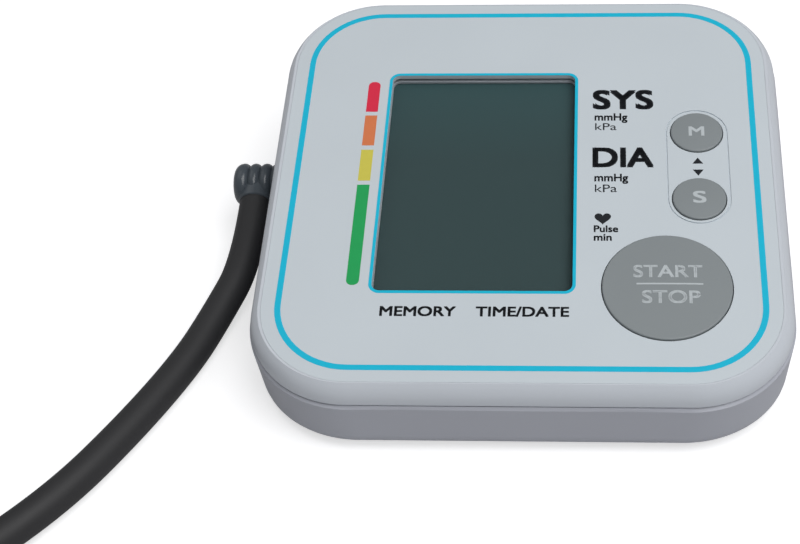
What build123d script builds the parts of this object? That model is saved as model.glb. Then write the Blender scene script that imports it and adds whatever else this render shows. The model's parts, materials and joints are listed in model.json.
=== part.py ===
import os
from math import cos, pi, radians, sin, tan

from build123d import *

os.makedirs("parts", exist_ok=True)

# Upper arm blood pressure monitor, a desk unit with a sloping top and an air hose.
# Millimetres. +X is the user's right, +Y is the high back, +Z is up, the feet stand on Z = 0.

# Whole housing
slope = 9.5                # degrees, the sloping top over the table
front_height = 22.8        # sloping top over the table, at the front edge of the faceplate
foot_height = 1.3          # underside of the housing over the table
wall = 2.3                 # side walls
floor_thickness = 2.2
fit_gap = 0.15             # all round between two fixed mouldings
slide_gap = 0.25           # all round between a moving piece and what guides it

# Faceplate, a thin plate let into the sloping top
plate_width = 124.8
plate_depth = 125.2
plate_corner = 22.5
plate_thickness = 1.2
plate_gap = 0.05           # all round in its recess

# Upper housing
rim_overhang = 2.7         # rim outside the faceplate, front and back
rim_side_overhang = 3.1    # and at each side
rim_height = 5.7
rim_draft = 1.5            # degrees
shoulder_radius = 7.5      # the round of the rim, cut off by the sloping top
deck_thickness = 1.8       # plate under the faceplate
lip_height = 1.5           # locating lip that drops into the lower housing
lip_thickness = 1.2

# Lower housing
parting_gap = 0.4          # shadow line between the housings
ledge = 0.5                # how far the lower housing stands proud of the upper one
ledge_chamfer = 0.8
base_draft = 1.1           # how far each side leans in from top to bottom
base_corner_growth = 2.5   # the corners are rounder at the bottom
base_fillet = 4.5
cavity_fillet = 2.6

# Screw bosses that join the housings
boss_inset_x = 8.0         # from the faceplate's side edges
boss_inset_y = 13.4        # from its front and back edges
boss_radius = 4.2
front_boss_top = 12.0
rear_boss_top = 22.0
post_radius = 3.6
screw_radius = 1.4
screw_head_radius = 2.7
screw_head_height = 1.8
screw_grip = 2.5           # boss material under the screw head
screw_bite = 7.0
foot_radius = 5.5
foot_recess = 0.6
foot_inset_x = 12.4        # from the faceplate's side edges
front_foot_inset = 22.6
rear_foot_inset = 28.6

# Display window, lens, liquid crystal cell and its holder
window_left = 26.35        # from the faceplate's edges to the window's
window_right = 49.95
window_front = 26.5
window_rear = 26.9
window_corner = 1.8
lens_border = 2.0
lens_thickness = 1.0
cell_border = 3.6          # liquid crystal cell outside the window
cell_thickness = 2.8
holder_wall = 1.0
holder_floor = 1.2
strip_width = 2.4          # elastic contact strips under the cell

# Main board under the sloping top
board_thickness = 1.2
board_left = 17.4          # from the faceplate's edges to the board's
board_right = 11.4
board_front = 12.6
board_rear = 14.1
board_corner_cut = 8.0
board_step = 3.5           # the board stops this far in front of the pump
board_step_inset = 7.55    # and goes on this far right of the window
board_post_radius = 2.4
board_screw_radius = 1.0
board_screw_head = 2.0
board_screw_height = 1.2
board_screw_bite = 3.0
chip_height = 1.6
chip_sizes = [(14.0, 14.0), (6.0, 5.0), (5.0, 4.0)]
chip_places = [(11.8, 26.0), (41.8, 28.0), (-4.2, 14.0)]   # right of the window's middle, behind the board's front edge
buzzer_radius = 6.0
buzzer_height = 3.0
buzzer_place = (37.8, 12.0)
buzzer_hole = 1.0

# Buttons
start_radius = 15.6
set_radius = 6.65
memory_radius = 6.6
start_inset_x = 27.3       # from the faceplate's right edge to the button's middle
start_inset_y = 27.85      # from its front edge
small_inset_x = 18.65      # the two small buttons, from the right edge
set_pitch = 27.5           # from the large button back to the first small one
memory_pitch = 22.25       # and on to the second
button_rise = 0.5          # rim of a button over the faceplate
button_crown = 0.3         # extra height of its middle
button_edge_radius = 0.35
button_flange = 1.0        # flange outside the button, under the deck
button_guide = 0.8         # wall of the ring that guides the flange
button_slack = 0.2         # between the flange and the deck over it
button_flange_height = 0.8
button_travel = 0.6
button_stem_radius = 2.2
switch_size = 6.0
switch_height = 1.5
switch_cap_radius = 1.7
switch_cap_height = 0.5
pill_groove_width = 0.4
pill_groove_depth = 0.3
pill_margin = 0.9          # groove outside the two small buttons

# Battery bay, AA cells side by side, opened from below: four of them in a housing of this width
battery_diameter = 14.5
battery_length = 50.5
battery_nub_radius = 2.75
battery_nub_height = 1.3
cell_pitch = 14.9
bay_rear = 4.1             # from the faceplate's back edge
bay_clearance = 0.2        # beside the pump's cushion
manifold_clearance = 0.55  # beside the manifold, at least
bay_end_room = 2.5         # for the contacts, at each end
bay_side_room = 2.2
bay_wall = 1.5
bay_headroom = 0.4
cell_clearance = 0.3       # over the door
contact_thickness = 0.4
contact_height = 11.0
contact_gap = 0.1          # behind each contact
contact_side_room = 3.5
leaf_width = 5.0
leaf_height = 9.0
cup_radius = 3.4
rib_width = 1.2            # ribs between the cells
rib_depth = 2.4
door_ledge = 1.5
door_lip_height = 6.2      # the door turns up the back of the housing by this much
door_tongue = 1.2
door_travel = 62.0
grip_rib_count = 7
grip_rib_pitch = 2.2
grip_rib_height = 0.4

# Air pump, lying front to back beside the battery bay
pump_inset = 25.5          # from the faceplate's right edge to its axis
pump_rear = 3.1            # from the faceplate's back edge
pump_radius = 12.0
pump_wall = 0.9
motor_length = 20.0
head_length = 9.0
diaphragm_thickness = 1.6
cover_length = 4.4
cushion_thickness = 1.0
cushion_length = 12.0
cushion_gap = 0.1
shaft_radius = 1.0
armature_radius = 8.2
crank_radius = 5.0
crank_offset = 1.2

# Air fittings and soft inner tubes
tube_radius = 2.2
tube_bore = 1.3
barb_radius = 1.25
barb_length = 3.0
top_port_length = 0.8      # the manifold's two upper ports, where the tubes turn at once
air_channel = 0.6
jack_back = 15.5           # behind the front of the battery bay
jack_z = 14.2
jack_recess = 0.2          # its face under the housing's side
jack_radius = 5.0
jack_bore = 3.0
jack_flange_radius = 7.0
jack_flange = 1.5
jack_seat_gap = 0.25       # between the flange and the side wall
jack_depth = 9.5           # from the outer face to the end of its body
manifold_offset = 7.4      # right of the jack's end
manifold_setback = 9.0     # in front of the jack's axis
manifold_width = 8.0
manifold_length = 21.5
manifold_height = 7.0
manifold_post = 1.8
pump_port = 3.0            # the pump's tube, behind the front of the battery bay
manifold_drop = 1.5        # its middle under the axis of the jack
sensor_offset = 18.0       # right of the manifold
sensor_back = 2.0          # behind the manifold's front
sensor_size = 10.0
sensor_height = 6.5

# Release valve
valve_offset = 6.0         # left of the manifold
valve_room = 12.0          # from the valve's back to the manifold
valve_nozzle = 4.0         # right of the valve's middle
valve_length = 15.0
valve_width = 11.0
valve_height = 10.0
yoke_thickness = 1.2
coil_radius = 3.7
plunger_radius = 1.6
plunger_travel = 0.8

# Hose plug, an elbow with grip rings, and the hose
pin_radius = 2.85
pin_length = 8.0
plug_gap = 1.3             # between the housing and the elbow
outlet_offset = 7.0        # from the elbow's right face to the axis of the outlet
ring_radius = 5.75
ring_valley = 4.8
ring_pitch = 3.0
ring_count = 4
tip_radius = 2.6           # round of the closed end
outlet_radius = 4.55
outlet_length = 6.4
outlet_droop = 12.0        # degrees below level
hose_radius = 4.2
hose_lift = 0.05           # between the hose and the table
hose_first_run = 19.7
hose_last_run = 14.0
seal_radius = 0.5

# Coil of the stored length, its tie and the connector on the far end
coil_radius_mid = 43.0
coil_entry_angle = -60.0   # degrees round the coil where the hose runs in
coil_turns = 1.7
coil_lead_in = 29.0
coil_ramp = 58.0           # degrees over which the hose climbs on to its first turn
tie_thickness = 0.5
tie_slack = 0.15           # each side of the coil
tie_width = 6.0
tie_angle = 180.0
connector_lift = 0.6       # its axis over the upper layer's, so that it clears the lower one
connector_flange_radius = 4.75
connector_flange = 2.0
connector_body_radius = 4.5
connector_body = 8.0
nozzle_radius = 2.3
nozzle_length = 11.0
nozzle_bore = 1.2

# The sloping top as a plane, and places worked out from the sizes above
slope_sin = sin(radians(slope))
slope_cos = cos(radians(slope))
deck_y = -(rim_height + parting_gap) * slope_sin
deck_z = front_height + plate_depth / 2 * slope_sin
deck = Plane(origin=(0, deck_y, deck_z), x_dir=(1, 0, 0), z_dir=(0, -slope_sin, slope_cos))
deck_axis = Axis(deck.origin, deck.z_dir)
parting = deck.offset(-(rim_height + parting_gap))
deck_under = plate_thickness + deck_thickness
upper_width = plate_width + 2 * rim_side_overhang
upper_depth = plate_depth + 2 * rim_overhang
upper_corner = plate_corner + rim_overhang
lower_width = upper_width + 2 * ledge
lower_depth = upper_depth + 2 * ledge
lower_corner = upper_corner + ledge
base_corner = lower_corner - base_draft + base_corner_growth
base_width = lower_width - 2 * base_draft
base_depth = lower_depth * slope_cos - 2 * base_draft
floor_top = foot_height + floor_thickness
lens_top = plate_thickness + fit_gap
cell_top = deck_under + 0.3
board_top = cell_top + cell_thickness + holder_floor
board_under = board_top + board_thickness
half_width = plate_width / 2
half_depth = plate_depth / 2
window_x = (window_left - window_right) / 2
window_y = (window_front - window_rear) / 2
window_width = plate_width - window_left - window_right
window_depth = plate_depth - window_front - window_rear
small_button_x = half_width - small_inset_x
start_y = start_inset_y - half_depth
set_y = start_y + set_pitch
button_places = {
    "memory_button": (small_button_x, set_y + memory_pitch, memory_radius),
    "set_button": (small_button_x, set_y, set_radius),
    "start_button": (half_width - start_inset_x, start_y, start_radius),
}
pump_x = half_width - pump_inset
pump_front = half_depth - pump_rear - (motor_length + head_length + diaphragm_thickness + cover_length)
jack_face_x = jack_recess - (lower_width / 2 - base_draft / 2)
jack_end_x = jack_face_x + jack_depth
manifold_x = jack_end_x + manifold_offset
bay_right = pump_x - pump_radius - cushion_thickness - cushion_gap - bay_clearance - bay_wall
bay_left = manifold_x + manifold_width / 2 + manifold_clearance + bay_wall
cell_count = int((bay_right - bay_left - 2 * bay_side_room) / cell_pitch)
bay_width = cell_count * cell_pitch + 2 * bay_side_room
bay_length = battery_length + 2 * bay_end_room
bay_back = half_depth - bay_rear
bay_front = bay_back - bay_length
bay_x = bay_right - bay_width / 2
battery_z = floor_top + cell_clearance + battery_diameter / 2
bay_ceiling = battery_z + battery_diameter / 2 + bay_headroom
tongue_low = floor_top + fit_gap
tongue_high = tongue_low + 1.0
guide_low = tongue_high + fit_gap
door_width = bay_width - 2 * door_ledge
door_lip_top = foot_height + door_lip_height
boss_places = [
    (side * (half_width - boss_inset_x), end * (half_depth - boss_inset_y), top)
    for end, top in ((-1, front_boss_top), (1, rear_boss_top))
    for side in (-1, 1)
]
foot_places = [
    (side * (half_width - foot_inset_x), y)
    for y in (front_foot_inset - half_depth, half_depth - rear_foot_inset)
    for side in (-1, 1)
]
board_edges = {
    "left": board_left - half_width,
    "right": half_width - board_right,
    "front": board_front - half_depth,
    "back": half_depth - board_rear,
    "step_x": window_x + window_width / 2 + board_step_inset,
    "step_y": pump_front - board_step,
}
board_post_places = [
    (board_edges["left"] + 11.0, board_edges["front"] + 4.0),
    (window_x + window_width / 2 - 0.45, board_edges["front"] + 4.0),
    (window_x + window_width / 2 + 15.05, board_edges["step_y"] - 23.5),
    (window_x - 0.2, board_edges["back"] - 3.3),
]
pump_z = floor_top + cushion_gap + cushion_thickness + pump_radius + 0.4
cover_back = pump_front + cover_length
diaphragm_back = cover_back + diaphragm_thickness
head_back = diaphragm_back + head_length
motor_back = head_back + motor_length
pump_nozzle_x = pump_x - 6.0
pump_nozzle_z = bay_ceiling + bay_wall + tube_radius + 0.5
jack_y = bay_front + jack_back
jack_plane = Plane(origin=(0, jack_y, jack_z), x_dir=(1, 0, 0), z_dir=(0, -1, 0))
jack_axis = Axis((0, jack_y, jack_z), (1, 0, 0))
pump_port_y = bay_front + pump_port
manifold_back = jack_y - manifold_setback
manifold_front = manifold_back - manifold_length
sensor_x = manifold_x + sensor_offset
sensor_y = manifold_front + sensor_back
sensor_place = deck.from_local_coords((sensor_x, sensor_y, -board_under - sensor_height / 2))
valve_x = manifold_x - valve_offset
valve_back = manifold_front - valve_room
valve_front = valve_back - valve_length
manifold_z = jack_z - manifold_drop
jack_port_x = manifold_x + 0.8
valve_z = floor_top + 0.3 + valve_height / 2
valve_nozzle_x = valve_x + valve_nozzle


def deck_height(y, depth=0.0):
    # height over the table of a plane that lies this deep under the sloping top
    return deck_z + (y - deck_y) * tan(radians(slope)) - depth / slope_cos


# Outer form of the lower housing, from the parting line to the underside
with BuildPart() as base_form:
    with BuildSketch(parting):
        RectangleRounded(lower_width, lower_depth, lower_corner)
    with BuildSketch(Plane.XY.offset(foot_height)):
        RectangleRounded(base_width, base_depth, base_corner)
    loft(ruled=True)
    fillet(base_form.edges().group_by(Axis.Z)[0], radius=base_fillet)
    chamfer(base_form.faces().sort_by(deck_axis)[-1].edges(), length=ledge_chamfer)

# Space inside it
with BuildPart() as base_cavity:
    with BuildSketch(parting.offset(0.5)):
        RectangleRounded(lower_width - 2 * wall, lower_depth - 2 * wall, lower_corner - wall)
    with BuildSketch(Plane.XY.offset(floor_top)):
        RectangleRounded(base_width - 2 * wall, base_depth - 2 * wall, base_corner - wall)
    loft(ruled=True)
    fillet(base_cavity.edges().group_by(Axis.Z)[0], radius=cavity_fillet)

# Upper housing: rim, deck plate, lip, button guides, screw posts and board posts
with BuildPart() as upper_housing:
    with BuildSketch(deck.offset(-rim_height)):
        RectangleRounded(upper_width, upper_depth, upper_corner)
    extrude(amount=shoulder_radius + 0.2, taper=rim_draft)
    fillet(upper_housing.faces().sort_by(deck_axis)[-1].edges(), radius=shoulder_radius)
    with BuildSketch(deck):
        Rectangle(2 * upper_width, 2 * upper_depth)
    extrude(amount=2 * shoulder_radius, mode=Mode.SUBTRACT)
    with BuildSketch(deck.offset(-rim_height)):
        RectangleRounded(upper_width - 2 * wall, upper_depth - 2 * wall, upper_corner - wall)
    extrude(amount=rim_height - deck_under, mode=Mode.SUBTRACT)
    with BuildSketch(deck):
        RectangleRounded(plate_width, plate_depth, plate_corner)
    extrude(amount=-plate_thickness, mode=Mode.SUBTRACT)
    with BuildSketch(deck.offset(-rim_height)):
        RectangleRounded(
            upper_width - 2 * wall + 2 * lip_thickness,
            upper_depth - 2 * wall + 2 * lip_thickness,
            upper_corner - wall + lip_thickness,
        )
        RectangleRounded(upper_width - 2 * wall, upper_depth - 2 * wall, upper_corner - wall, mode=Mode.SUBTRACT)
    extrude(amount=-(parting_gap + lip_height))
    for x, y, top in boss_places:
        with BuildSketch(Plane.XY.offset(top)):
            with Locations((x, y)):
                Circle(post_radius)
        extrude(amount=deck_height(y, deck_under - deck_thickness / 2) - top)
    with BuildSketch(deck.offset(-deck_under)):
        with Locations(*board_post_places):
            Circle(board_post_radius)
        for x, y, radius in button_places.values():
            with Locations((x, y)):
                Circle(radius + button_flange + slide_gap + button_guide)
                Circle(radius + button_flange + slide_gap, mode=Mode.SUBTRACT)
    extrude(amount=-(board_top - deck_under))
    with BuildSketch(deck.offset(-deck_under)):
        for x, y, radius in button_places.values():
            with Locations((x, y)):
                Circle(radius + slide_gap)
    extrude(amount=deck_thickness, mode=Mode.SUBTRACT)
    # the guides stop short of the board, so that only the posts touch it
    with BuildSketch(deck.offset(-board_top)):
        for x, y, radius in button_places.values():
            with Locations((x, y)):
                Circle(radius + button_flange + slide_gap + button_guide + 0.2)
    extrude(amount=1.8, mode=Mode.SUBTRACT)
    with BuildSketch(deck.offset(-deck_under)):
        with Locations((window_x, window_y)):
            RectangleRounded(window_width, window_depth, window_corner)
    extrude(amount=deck_thickness, mode=Mode.SUBTRACT)
    with BuildSketch(deck.offset(-plate_thickness)):
        with Locations((window_x, window_y)):
            Rectangle(window_width + 2 * lens_border, window_depth + 2 * lens_border)
    extrude(amount=-(lens_thickness + fit_gap), mode=Mode.SUBTRACT)
    for x, y, top in boss_places:
        with BuildSketch(Plane.XY.offset(top)):
            with Locations((x, y)):
                Circle(screw_radius + 0.05)
        extrude(amount=screw_bite + 0.5, mode=Mode.SUBTRACT)
    with BuildSketch(deck.offset(-board_top)):
        with Locations(*board_post_places):
            Circle(board_screw_radius + 0.05)
    extrude(amount=board_screw_bite + 0.4, mode=Mode.SUBTRACT)
upper_housing.part.label = "upper_housing"
export_step(upper_housing.part, "parts/upper_housing.step")

# Lower housing: shell, bosses, battery bay, cradles for the pump, jack and valve
with BuildPart() as lower_housing:
    add(base_form.part)
    add(base_cavity.part, mode=Mode.SUBTRACT)
    with BuildSketch(parting):
        RectangleRounded(
            upper_width - 2 * wall + 2 * lip_thickness + 2 * fit_gap,
            upper_depth - 2 * wall + 2 * lip_thickness + 2 * fit_gap,
            upper_corner - wall + lip_thickness + fit_gap,
        )
    extrude(amount=-(lip_height + 0.2), mode=Mode.SUBTRACT)
    # bosses
    for x, y, top in boss_places:
        with BuildSketch(Plane.XY.offset(floor_top - 0.5)):
            with Locations((x, y)):
                Circle(boss_radius)
        extrude(amount=top - floor_top + 0.5)
    # battery bay walls and ceiling
    with BuildSketch(Plane.XY.offset(floor_top - 0.5)):
        with Locations((bay_x, bay_front + bay_length / 2)):
            Rectangle(bay_width + 2 * bay_wall, bay_length + 2 * bay_wall)
    extrude(amount=bay_ceiling + bay_wall - floor_top + 0.5)
    with BuildSketch(Plane.XY.offset(foot_height)):
        with Locations((bay_x, bay_front + bay_length / 2)):
            Rectangle(bay_width, bay_length)
    extrude(amount=bay_ceiling - foot_height, mode=Mode.SUBTRACT)
    # ribs between the cells, under the ceiling
    with BuildSketch(Plane.XY.offset(bay_ceiling)):
        with Locations((bay_x, bay_front + bay_length / 2)):
            with GridLocations(cell_pitch, 1, cell_count - 1, 1):
                Rectangle(rib_width, bay_length)
    extrude(amount=-rib_depth)
    # ledges that carry the door's tongues
    for side in (-1, 1):
        with BuildSketch(Plane.XY.offset(foot_height)):
            with Locations((bay_x + side * (bay_width / 2 - door_ledge / 2), bay_front + bay_length / 2)):
                Rectangle(door_ledge, bay_length)
        extrude(amount=floor_thickness)
        with BuildSketch(Plane.XY.offset(guide_low)):
            with Locations((bay_x + side * (bay_width / 2 - 0.7), bay_front + bay_length / 2)):
                with GridLocations(1, bay_length * 0.4, 1, 2):
                    Rectangle(1.4, 6.0)
        extrude(amount=1.0)
    # way out for the door through the back
    with BuildSketch(Plane.XY.offset(foot_height - 1)):
        with Locations((bay_x, bay_front - 0.5)):
            Rectangle(door_width, lower_depth, align=(Align.CENTER, Align.MIN))
    extrude(amount=1 + floor_thickness + 0.05, mode=Mode.SUBTRACT)
    with BuildSketch(Plane.XY.offset(floor_top)):
        with Locations((bay_x, bay_front)):
            Rectangle(bay_width, lower_depth, align=(Align.CENTER, Align.MIN))
    extrude(amount=guide_low - floor_top, mode=Mode.SUBTRACT)
    with BuildSketch(Plane.XY.offset(foot_height - 1)):
        with Locations((bay_x, bay_back + bay_wall)):
            Rectangle(door_width, lower_depth, align=(Align.CENTER, Align.MIN))
    extrude(amount=1 + door_lip_height + slide_gap, mode=Mode.SUBTRACT)
    # screw holes, reached from below
    for x, y, top in boss_places:
        with BuildSketch(Plane.XY.offset(foot_height)):
            with Locations((x, y)):
                Circle(screw_head_radius + 0.4)
        extrude(amount=top - screw_grip - foot_height, mode=Mode.SUBTRACT)
        with BuildSketch(Plane.XY.offset(foot_height)):
            with Locations((x, y)):
                Circle(screw_radius + 0.2)
        extrude(amount=top - foot_height, mode=Mode.SUBTRACT)
    # seats of the rubber feet
    with BuildSketch(Plane.XY.offset(foot_height)):
        with Locations(*foot_places):
            Circle(foot_radius + fit_gap)
    extrude(amount=foot_recess, mode=Mode.SUBTRACT)
    # pump cradle, two ribs with a round seat
    for y in (head_back + 3.0, head_back + 3.0 + cushion_length - 2.0):
        with BuildSketch(Plane.XZ.offset(-y)):
            with Locations((pump_x, floor_top - 0.5)):
                Rectangle(2 * pump_radius, pump_radius + 1.0, align=(Align.CENTER, Align.MIN))
            with Locations((pump_x, pump_z)):
                Circle(pump_radius + cushion_thickness + cushion_gap, mode=Mode.SUBTRACT)
        extrude(amount=-1.5)
    # jack seat, a wall with a round notch, and the hole in the side wall
    with BuildSketch(Plane.YZ.offset(jack_face_x + wall + jack_seat_gap + jack_flange + fit_gap)):
        with Locations((jack_y, floor_top - 0.5)):
            Rectangle(2 * jack_flange_radius, jack_z - floor_top + 0.5, align=(Align.CENTER, Align.MIN))
        with Locations((jack_y, jack_z)):
            Circle(jack_radius + fit_gap, mode=Mode.SUBTRACT)
    extrude(amount=1.5)
    with BuildSketch(Plane.YZ.offset(-lower_width / 2 - 1)):
        with Locations((jack_y, jack_z)):
            Circle(jack_radius + fit_gap)
    extrude(amount=wall + 2.5, mode=Mode.SUBTRACT)
    # valve pen and manifold posts on the floor
    with BuildSketch(Plane.XY.offset(floor_top - 0.5)):
        with Locations((valve_x, valve_front + valve_length / 2)):
            Rectangle(valve_width + 2.6, 4.0)
            Rectangle(valve_width + 0.4, 4.0, mode=Mode.SUBTRACT)
        with Locations((manifold_x, manifold_front + 4.0), (manifold_x, manifold_back - 6.0)):
            Circle(manifold_post)
    extrude(amount=valve_height / 2 + 0.5)
    with BuildSketch(Plane.XY.offset(floor_top)):
        with Locations((manifold_x, manifold_front + 4.0), (manifold_x, manifold_back - 6.0)):
            Circle(manifold_post)
    extrude(amount=manifold_z - manifold_height / 2 - fit_gap - floor_top)
lower_housing.part.label = "lower_housing"
export_step(lower_housing.part, "parts/lower_housing.step")

# Faceplate, with the window, the button holes and the long groove round the small buttons
pill_x = button_places["memory_button"][0]
pill_top = button_places["memory_button"][1]
pill_bottom = button_places["set_button"][1]
pill_radius = button_places["set_button"][2] + pill_margin
with BuildPart() as faceplate:
    with BuildSketch(deck.offset(-plate_thickness)):
        RectangleRounded(plate_width - 2 * plate_gap, plate_depth - 2 * plate_gap, plate_corner - plate_gap)
        with Locations((window_x, window_y)):
            RectangleRounded(window_width, window_depth, window_corner, mode=Mode.SUBTRACT)
        for x, y, radius in button_places.values():
            with Locations((x, y)):
                Circle(radius + slide_gap, mode=Mode.SUBTRACT)
    extrude(amount=plate_thickness)
    with BuildSketch(deck.offset(-pill_groove_depth)):
        with Locations((pill_x, (pill_top + pill_bottom) / 2)):
            SlotCenterToCenter(pill_top - pill_bottom, 2 * (pill_radius + pill_groove_width), rotation=90)
            SlotCenterToCenter(pill_top - pill_bottom, 2 * pill_radius, rotation=90, mode=Mode.SUBTRACT)
    extrude(amount=pill_groove_depth, mode=Mode.SUBTRACT)
faceplate.part.label = "faceplate"
export_step(faceplate.part, "parts/faceplate.step")

# Clear lens in its pocket under the faceplate
with BuildPart() as window_lens:
    with BuildSketch(deck.offset(-lens_top)):
        with Locations((window_x, window_y)):
            Rectangle(window_width + 2 * lens_border - 2 * fit_gap, window_depth + 2 * lens_border - 2 * fit_gap)
    extrude(amount=-lens_thickness)
window_lens.part.label = "window_lens"
export_step(window_lens.part, "parts/window_lens.step")

# Liquid crystal cell: two glass sheets, the lower one longer at the contact edge
with BuildPart() as lcd_panel:
    with BuildSketch(deck.offset(-cell_top)):
        with Locations((window_x, window_y + strip_width / 2)):
            Rectangle(window_width + 2 * cell_border, window_depth + 2 * cell_border - strip_width)
    extrude(amount=-cell_thickness / 2)
    with BuildSketch(deck.offset(-cell_top - cell_thickness / 2)):
        with Locations((window_x, window_y)):
            Rectangle(window_width + 2 * cell_border, window_depth + 2 * cell_border)
    extrude(amount=-cell_thickness / 2)
lcd_panel.part.label = "lcd_panel"
export_step(lcd_panel.part, "parts/lcd_panel.step")

# Holder that stands on the board and frames the cell
with BuildPart() as lcd_holder:
    with BuildSketch(deck.offset(-board_top)):
        with Locations((window_x, window_y)):
            Rectangle(
                window_width + 2 * cell_border + 2 * fit_gap + 2 * holder_wall,
                window_depth + 2 * cell_border + 2 * fit_gap + 2 * holder_wall,
            )
            Rectangle(window_width - 4.0, window_depth - 4.0, mode=Mode.SUBTRACT)
    extrude(amount=board_top - deck_under - fit_gap)
    with BuildSketch(deck.offset(-board_top + holder_floor)):
        with Locations((window_x, window_y)):
            Rectangle(
                window_width + 2 * cell_border + 2 * fit_gap,
                window_depth + 2 * cell_border + 2 * fit_gap,
            )
    extrude(amount=board_top - deck_under, mode=Mode.SUBTRACT)
    with BuildSketch(deck.offset(-board_top)):
        with Locations((window_x, window_y)):
            with GridLocations(1, window_depth + 2 * cell_border - 2 * strip_width, 1, 2):
                Rectangle(window_width + 2 * fit_gap, strip_width + 2 * fit_gap)
    extrude(amount=holder_floor, mode=Mode.SUBTRACT)
lcd_holder.part.label = "lcd_holder"
export_step(lcd_holder.part, "parts/lcd_holder.step")

for name, side in (("rear_strip", 1), ("front_strip", -1)):
    strip_y = window_y + side * (window_depth / 2 + cell_border - strip_width)
    with BuildPart() as contact_strip:
        with BuildSketch(deck.offset(-board_top)):
            with Locations((window_x, strip_y)):
                Rectangle(window_width, strip_width)
        extrude(amount=holder_floor)
    contact_strip.part.label = name
    export_step(contact_strip.part, "parts/" + name + ".step")

# Main board, an L in plan, with its screw holes
with BuildPart() as main_board:
    with BuildSketch(deck.offset(-board_under)):
        with BuildLine():
            Polyline(
                (board_edges["left"], board_edges["front"]),
                (board_edges["right"] - board_corner_cut, board_edges["front"]),
                (board_edges["right"], board_edges["front"] + board_corner_cut),
                (board_edges["right"], board_edges["step_y"]),
                (board_edges["step_x"], board_edges["step_y"]),
                (board_edges["step_x"], board_edges["back"]),
                (board_edges["left"], board_edges["back"]),
                close=True,
            )
        make_face()
        with Locations(*board_post_places):
            Circle(board_screw_radius + 0.2, mode=Mode.SUBTRACT)
    extrude(amount=board_thickness)
main_board.part.label = "main_board"
export_step(main_board.part, "parts/main_board.step")

with BuildPart() as board_screws:
    with BuildSketch(deck.offset(-board_under)):
        with Locations(*board_post_places):
            Circle(board_screw_head)
    extrude(amount=-board_screw_height)
    with BuildSketch(deck.offset(-board_under)):
        with Locations(*board_post_places):
            Circle(board_screw_radius)
    extrude(amount=board_thickness + board_screw_bite)
board_screws.part.label = "board_screws"
export_step(board_screws.part, "parts/board_screws.step")

# Chips and the sound disc on the underside of the board
with BuildPart() as board_chips:
    with BuildSketch(deck.offset(-board_under)):
        for (x, y), (wide, deep) in zip(chip_places, chip_sizes):
            with Locations((window_x + x, board_edges["front"] + y)):
                Rectangle(wide, deep)
    extrude(amount=-chip_height)
board_chips.part.label = "board_chips"
export_step(board_chips.part, "parts/board_chips.step")

buzzer_middle = (window_x + buzzer_place[0], board_edges["front"] + buzzer_place[1])
with BuildPart() as buzzer:
    with BuildSketch(deck.offset(-board_under)):
        with Locations(buzzer_middle):
            Circle(buzzer_radius)
    extrude(amount=-buzzer_height)
    chamfer(buzzer.faces().sort_by(deck_axis)[0].edges(), length=0.4)
    with BuildSketch(deck.offset(-board_under - buzzer_height)):
        with Locations(buzzer_middle):
            Circle(buzzer_hole)
    extrude(amount=1.0, mode=Mode.SUBTRACT)
buzzer.part.label = "buzzer"
export_step(buzzer.part, "parts/buzzer.step")

# Tactile switches on the board, one under each button
for name, (x, y, radius) in button_places.items():
    with BuildPart() as key_switch:
        with BuildSketch(deck.offset(-board_top)):
            with Locations((x, y)):
                RectangleRounded(switch_size, switch_size, 0.4)
        extrude(amount=switch_height)
        with BuildSketch(deck.offset(-board_top + switch_height)):
            with Locations((x, y)):
                Circle(switch_cap_radius)
        extrude(amount=switch_cap_height)
    key_switch.part.label = name.replace("button", "switch")
    export_step(key_switch.part, "parts/" + name.replace("button", "switch") + ".step")

# Buttons: a crowned cap, a flange that the deck holds down, and a stem over the switch
switch_top = board_top - switch_height - switch_cap_height
for name, (x, y, radius) in button_places.items():
    section = Plane(origin=deck.from_local_coords((x, y, 0)), x_dir=(1, 0, 0), z_dir=-deck.y_dir)
    with BuildPart() as button:
        with BuildSketch(section):
            with BuildLine():
                crown = TangentArc((0, button_rise + button_crown), (radius, button_rise), tangent=(1, 0))
                Polyline(
                    crown @ 1,
                    (radius, -deck_under - button_slack),
                    (radius + button_flange, -deck_under - button_slack),
                    (radius + button_flange, -deck_under - button_slack - button_flange_height),
                    (button_stem_radius, -deck_under - button_slack - button_flange_height),
                    (button_stem_radius, -switch_top + button_travel + 0.1),
                    (0, -switch_top + button_travel + 0.1),
                    crown @ 0,
                )
            make_face()
        revolve(axis=Axis(section.origin, deck.z_dir))
        rim = button.edges().filter_by(lambda edge: edge.is_closed).sort_by(deck_axis)[-1]
        fillet(rim, radius=button_edge_radius)
    button.part.label = name
    export_step(button.part, "parts/" + name + ".step")

# Pressure sensor under the board, its nozzle towards the air manifold
with BuildPart() as pressure_sensor:
    with BuildSketch(deck.offset(-board_under)):
        with Locations((sensor_x, sensor_y)):
            RectangleRounded(sensor_size, sensor_size, 0.8)
    extrude(amount=-sensor_height)
    with BuildSketch(Plane.YZ.offset(sensor_x - sensor_size / 2)):
        with Locations((sensor_place.Y, sensor_place.Z)):
            Circle(barb_radius)
    extrude(amount=-barb_length)
    with BuildSketch(Plane.YZ.offset(sensor_x - sensor_size / 2 - barb_length)):
        with Locations((sensor_place.Y, sensor_place.Z)):
            Circle(air_channel)
    extrude(amount=barb_length + 2.0, mode=Mode.SUBTRACT)
pressure_sensor.part.label = "pressure_sensor"
export_step(pressure_sensor.part, "parts/pressure_sensor.step")

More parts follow.
